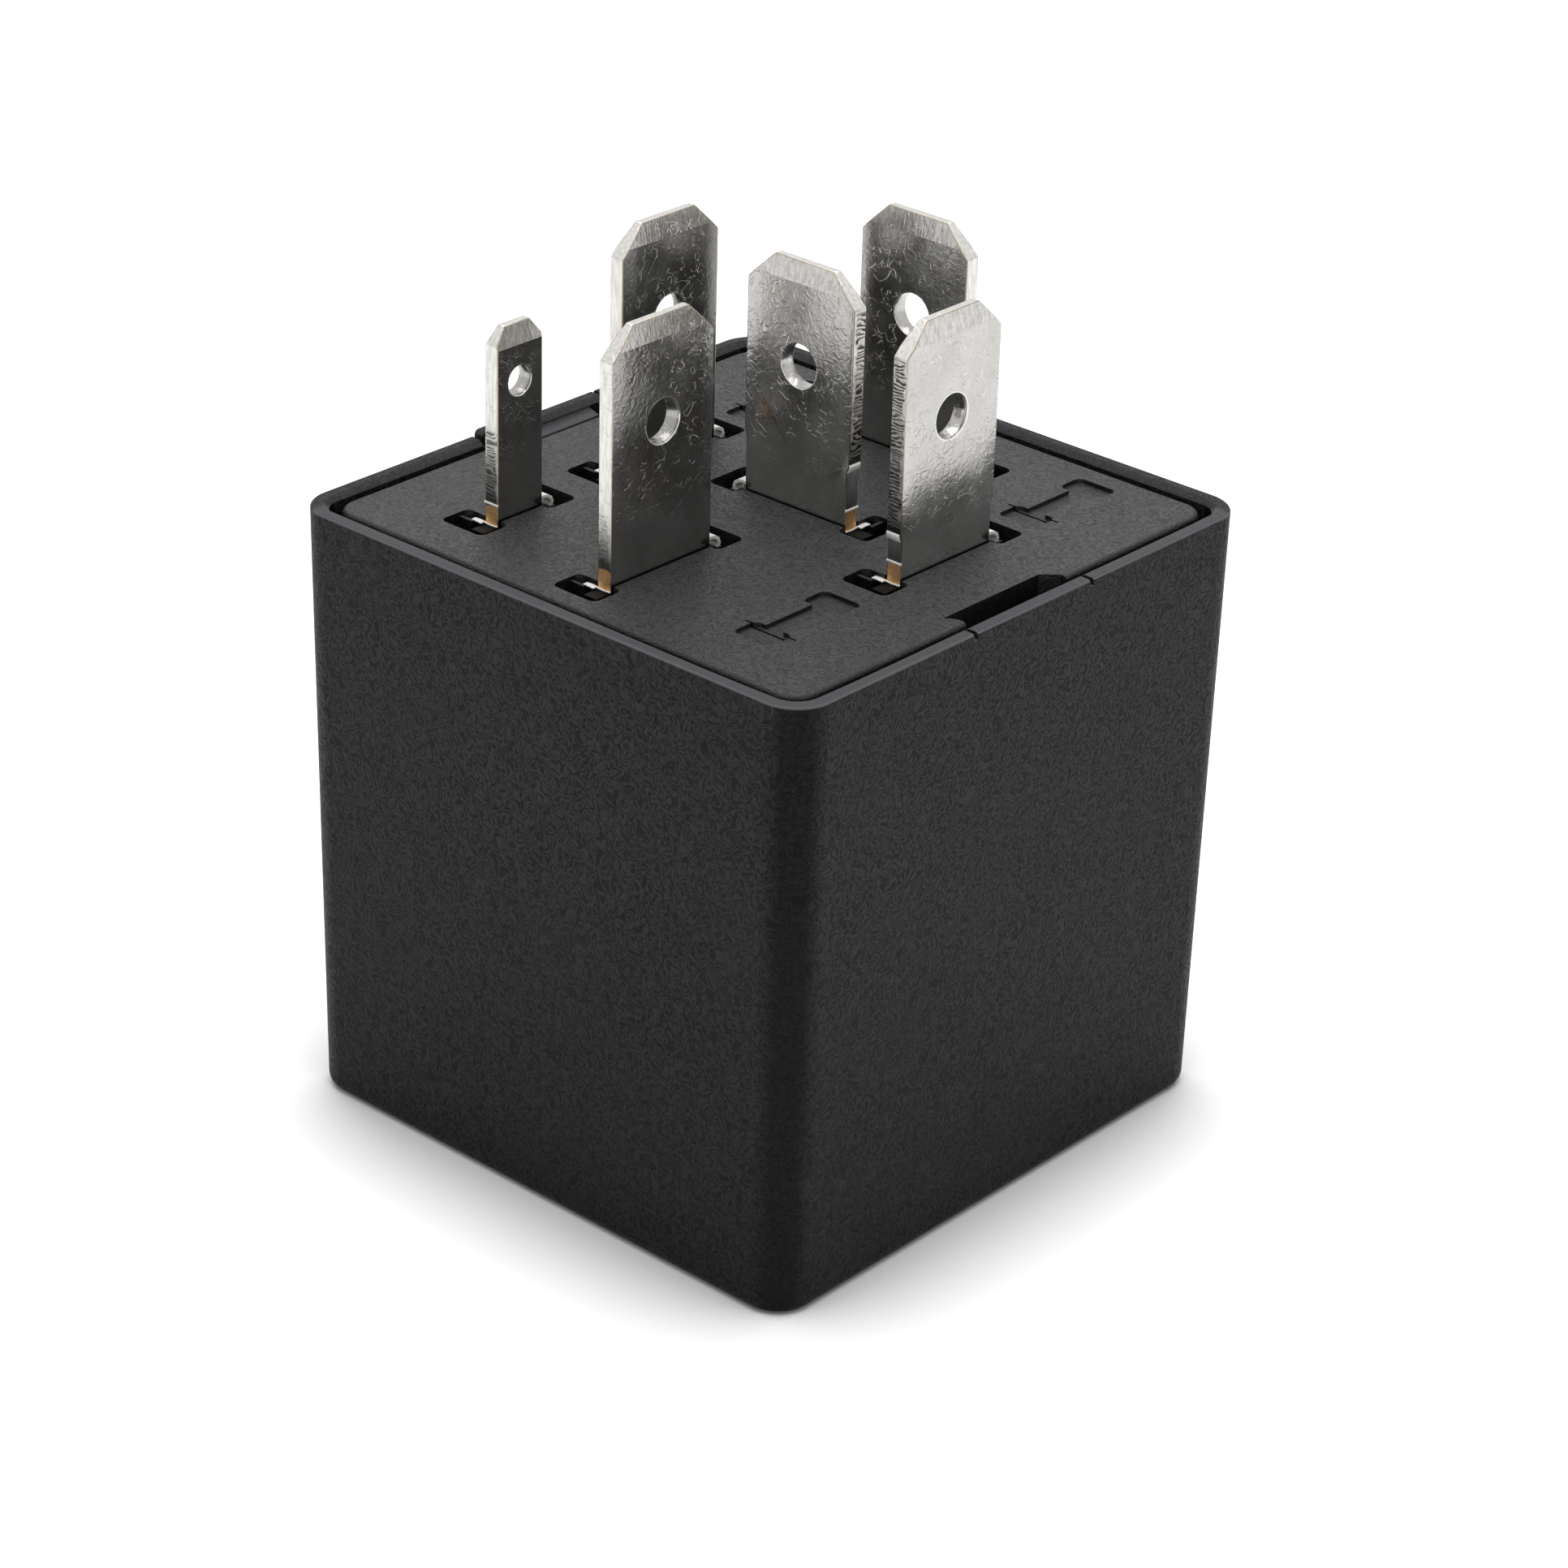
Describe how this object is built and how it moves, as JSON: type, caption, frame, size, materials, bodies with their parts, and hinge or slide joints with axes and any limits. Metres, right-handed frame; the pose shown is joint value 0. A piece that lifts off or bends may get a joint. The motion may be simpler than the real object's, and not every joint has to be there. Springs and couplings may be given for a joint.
{
  "type": "windscreen wiper relay",
  "caption": "Plug-in windscreen wiper interval relay: square black can with tinned blade terminals standing out of its base.",
  "frame": {"origin": "middle of the can's closed end, on the surface that it stands on", "axes": "+Z from the closed end towards the blade tips; the walls with the latch slots face +X and -X; the narrow blade is at -X -Y"},
  "size_m": [0.0304, 0.0304, 0.0415],
  "materials": {
    "housing_plastic": "spark-eroded satin moulding",
    "base_plastic": "fine grained moulding",
    "tinned_blade": "tinned brass, rolled and lightly scratched",
    "board_laminate": "lacquered glass laminate",
    "solder": "bright solder",
    "frame_plastic": "moulded relay frame",
    "zinc_plated_steel": "zinc plated",
    "bobbin_plastic": "natural nylon",
    "enamelled_copper": "enamelled wire",
    "bright_steel": "bright",
    "spring_bronze": "rolled bronze strip",
    "silver_contact": "polished",
    "strip_brass": "stamped brass",
    "capacitor_sleeve": "shrink sleeve",
    "film_case": "moulded case",
    "chip_epoxy": "moulded epoxy",
    "diode_epoxy": "moulded epoxy",
    "diode_glass": "glass over lacquer",
    "resistor_lacquer": "lacquered"
  },
  "bodies": {
    "root": {"housing_can": "housing_plastic", "base_plate": "base_plastic", "terminal_signal": "tinned_blade", "terminal_motor": "tinned_blade", "terminal_ground": "tinned_blade", "terminal_supply": "tinned_blade", "terminal_park": "tinned_blade", "terminal_switch": "tinned_blade", "circuit_board": "board_laminate", "component_solder": "solder", "terminal_solder": "solder", "relay_frame": "frame_plastic", "yoke": "zinc_plated_steel", "coil_bobbin": "bobbin_plastic", "coil_winding": "enamelled_copper", "iron_core": "zinc_plated_steel", "coil_pins": "solder", "make_strip": "strip_brass", "make_contact": "silver_contact", "break_strip": "strip_brass", "break_contact": "silver_contact", "return_spring": "bright_steel", "timing_capacitor": "capacitor_sleeve", "film_capacitor": "film_case", "timer_chip": "chip_epoxy", "driver_transistor": "chip_epoxy", "flyback_diode": "diode_epoxy", "zener_diode": "diode_glass", "resistor_timing": "resistor_lacquer", "resistor_input": "resistor_lacquer", "resistor_driver": "resistor_lacquer", "resistor_feed": "resistor_lacquer"},
    "armature": {"armature": "zinc_plated_steel", "armature_rivets": "bright_steel", "contact_leaf": "spring_bronze", "moving_contact": "silver_contact"}
  },
  "joints": [
    {"name": "armature_hinge", "type": "hinge", "parent": "root", "child": "armature", "pos_m": [-0.0106, -0.0074, 0.00662], "axis": [0, -1, 0], "range_deg": [0, 3], "stiffness_Nm_per_rad": 0.004, "springref_deg": -11.46, "deforming": ["return_spring"]}
  ]
}
